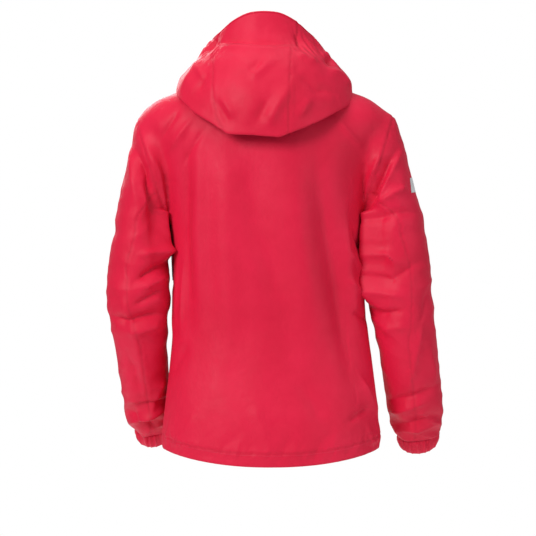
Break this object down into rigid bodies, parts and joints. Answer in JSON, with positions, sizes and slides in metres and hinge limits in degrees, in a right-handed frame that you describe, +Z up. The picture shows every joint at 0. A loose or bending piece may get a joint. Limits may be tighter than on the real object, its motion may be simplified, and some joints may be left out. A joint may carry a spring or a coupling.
{
  "type": "hooded hardshell jacket",
  "caption": "Hooded waterproof shell jacket as worn: full front zip, hood lying on the back, two-piece sleeves with gathered cuffs, stitched hem band.",
  "frame": {"origin": "middle of the neck hole, level with the centre back neck seam", "axes": "+Z up, the jacket's front faces -Y, the wearer's left is +X"},
  "size_m": [0.6191, 0.2949, 0.8164],
  "materials": {
    "shell_fabric": "matt woven nylon face with a faint sheen",
    "lining_fabric": "smooth knitted backer",
    "zip_tape": "woven tape",
    "dark_textile": "knitted mesh, webbing and elastic",
    "black_plastic": "moulded nylon",
    "red_plastic": "moulded nylon",
    "reflective_print": "reflective transfer film",
    "slider_metal": "dark nickel"
  },
  "bodies": {
    "torso": {"left_shoulder_panel": "shell_fabric", "left_side_panel": "shell_fabric", "left_front_panel": "shell_fabric", "left_chest_yoke": "shell_fabric", "right_shoulder_panel": "shell_fabric", "right_side_panel": "shell_fabric", "right_front_panel": "shell_fabric", "right_chest_yoke": "shell_fabric", "back_panel": "shell_fabric", "back_hem_band": "shell_fabric", "left_hem_band": "shell_fabric", "right_hem_band": "shell_fabric", "left_sleeve_head": "shell_fabric", "right_sleeve_head": "shell_fabric", "hood_under_panel": "lining_fabric", "left_collar": "shell_fabric", "right_collar": "shell_fabric", "front_zip_left_tape": "zip_tape", "front_zip_right_tape": "zip_tape", "front_zip_chain": "black_plastic", "front_zip_bottom_box": "slider_metal", "storm_flap": "lining_fabric", "left_pocket_zip": "zip_tape", "left_vent_zip": "black_plastic", "right_pocket_zip": "zip_tape", "right_vent_zip": "black_plastic", "left_pocket_bag": "dark_textile", "right_pocket_bag": "dark_textile", "hanger_loop": "dark_textile", "hem_cord": "dark_textile", "left_hem_lock": "black_plastic", "right_hem_lock": "black_plastic"},
    "hood": {"hood_centre_panel": "shell_fabric", "hood_brim": "shell_fabric", "hood_left_panel": "shell_fabric", "hood_right_panel": "shell_fabric"},
    "left_upper_sleeve": {"left_upper_sleeve_outer": "shell_fabric", "left_upper_sleeve_under": "shell_fabric"},
    "left_forearm": {"left_forearm_outer": "shell_fabric", "left_forearm_under": "shell_fabric", "left_cuff": "shell_fabric"},
    "right_upper_sleeve": {"right_upper_sleeve_outer": "shell_fabric", "right_upper_sleeve_under": "shell_fabric", "sleeve_reflector": "reflective_print"},
    "right_forearm": {"right_forearm_outer": "shell_fabric", "right_forearm_under": "shell_fabric", "right_cuff": "shell_fabric"},
    "front_zip_slider": {"front_zip_slider": "slider_metal"},
    "front_zip_pull": {"front_zip_pull": "red_plastic"},
    "left_pocket_slider": {"left_pocket_slider": "slider_metal"},
    "left_pocket_pull": {"left_pocket_pull": "red_plastic"},
    "left_vent_slider": {"left_vent_slider": "slider_metal"},
    "left_vent_pull": {"left_vent_pull": "red_plastic"},
    "right_pocket_slider": {"right_pocket_slider": "slider_metal"},
    "right_pocket_pull": {"right_pocket_pull": "red_plastic"},
    "right_vent_slider": {"right_vent_slider": "slider_metal"},
    "right_vent_pull": {"right_vent_pull": "red_plastic"},
    "left_lock_button": {"left_hem_lock_button": "red_plastic"},
    "right_lock_button": {"right_hem_lock_button": "red_plastic"}
  },
  "joints": [
    {"name": "hood_lift", "type": "hinge", "parent": "torso", "child": "hood", "pos_m": [0, 0.02, 0], "axis": [1, 0, 0], "range_deg": [0, 35], "deforming": ["hood_under_panel", "hood_left_panel", "hood_right_panel"]},
    {"name": "left_shoulder", "type": "hinge", "parent": "torso", "child": "left_upper_sleeve", "pos_m": [0.185, 0.004, -0.15], "axis": [0, -1, 0], "range_deg": [0, 60]},
    {"name": "left_elbow", "type": "hinge", "parent": "left_upper_sleeve", "child": "left_forearm", "pos_m": [0.232, 0.008, -0.43], "axis": [-1, 0, 0], "range_deg": [0, 70]},
    {"name": "right_shoulder", "type": "hinge", "parent": "torso", "child": "right_upper_sleeve", "pos_m": [-0.185, 0.004, -0.15], "axis": [0, 1, 0], "range_deg": [0, 60]},
    {"name": "right_elbow", "type": "hinge", "parent": "right_upper_sleeve", "child": "right_forearm", "pos_m": [-0.253, 0.005, -0.43], "axis": [-1, 0, 0], "range_deg": [0, 70]},
    {"name": "front_zip_slide", "type": "slide", "parent": "torso", "child": "front_zip_slider", "axis": [0, 0, -1], "range_m": [0, 0.492], "deforming": ["front_zip_chain"]},
    {"name": "front_zip_pull_swing", "type": "hinge", "parent": "front_zip_slider", "child": "front_zip_pull", "pos_m": [0, -0.13055, -0.19], "axis": [-1, 0, 0], "range_deg": [0, 90]},
    {"name": "left_pocket_slide", "type": "slide", "parent": "torso", "child": "left_pocket_slider", "axis": [0.0345, 0, -0.9994], "range_m": [0, 0.141]},
    {"name": "left_pocket_pull_swing", "type": "hinge", "parent": "left_pocket_slider", "child": "left_pocket_pull", "pos_m": [0.1041, -0.10815, -0.418], "axis": [-0.9505, -0.3089, -0.0328], "range_deg": [0, 90]},
    {"name": "left_vent_slide", "type": "slide", "parent": "torso", "child": "left_vent_slider", "axis": [-0.0421, 0, -0.9991], "range_m": [0, 0.086]},
    {"name": "left_vent_pull_swing", "type": "hinge", "parent": "left_vent_slider", "child": "left_vent_pull", "pos_m": [0.17502, -0.00124, -0.2872], "axis": [-0.3099, -0.9507, 0.0131], "range_deg": [0, 8]},
    {"name": "right_pocket_slide", "type": "slide", "parent": "torso", "child": "right_pocket_slider", "axis": [-0.0836, 0, -0.9965], "range_m": [0, 0.141]},
    {"name": "right_pocket_pull_swing", "type": "hinge", "parent": "right_pocket_slider", "child": "right_pocket_pull", "pos_m": [-0.12146, -0.10782, -0.41808], "axis": [-0.8664, 0.494, 0.0727], "range_deg": [0, 90]},
    {"name": "right_vent_slide", "type": "slide", "parent": "torso", "child": "right_vent_slider", "axis": [-0.0178, 0, -0.9998], "range_m": [0, 0.086]},
    {"name": "right_vent_pull_swing", "type": "hinge", "parent": "right_vent_slider", "child": "right_vent_pull", "pos_m": [-0.18406, 0.00074, -0.28694], "axis": [0.1835, 0.983, -0.0033], "range_deg": [0, 8]},
    {"name": "left_lock_press", "type": "slide", "parent": "torso", "child": "left_lock_button", "axis": [0, 0, -1], "range_m": [0, 0.003], "stiffness_N_per_m": 800, "springref_m": -0.002},
    {"name": "right_lock_press", "type": "slide", "parent": "torso", "child": "right_lock_button", "axis": [0, 0, -1], "range_m": [0, 0.003], "stiffness_N_per_m": 800, "springref_m": -0.002}
  ]
}
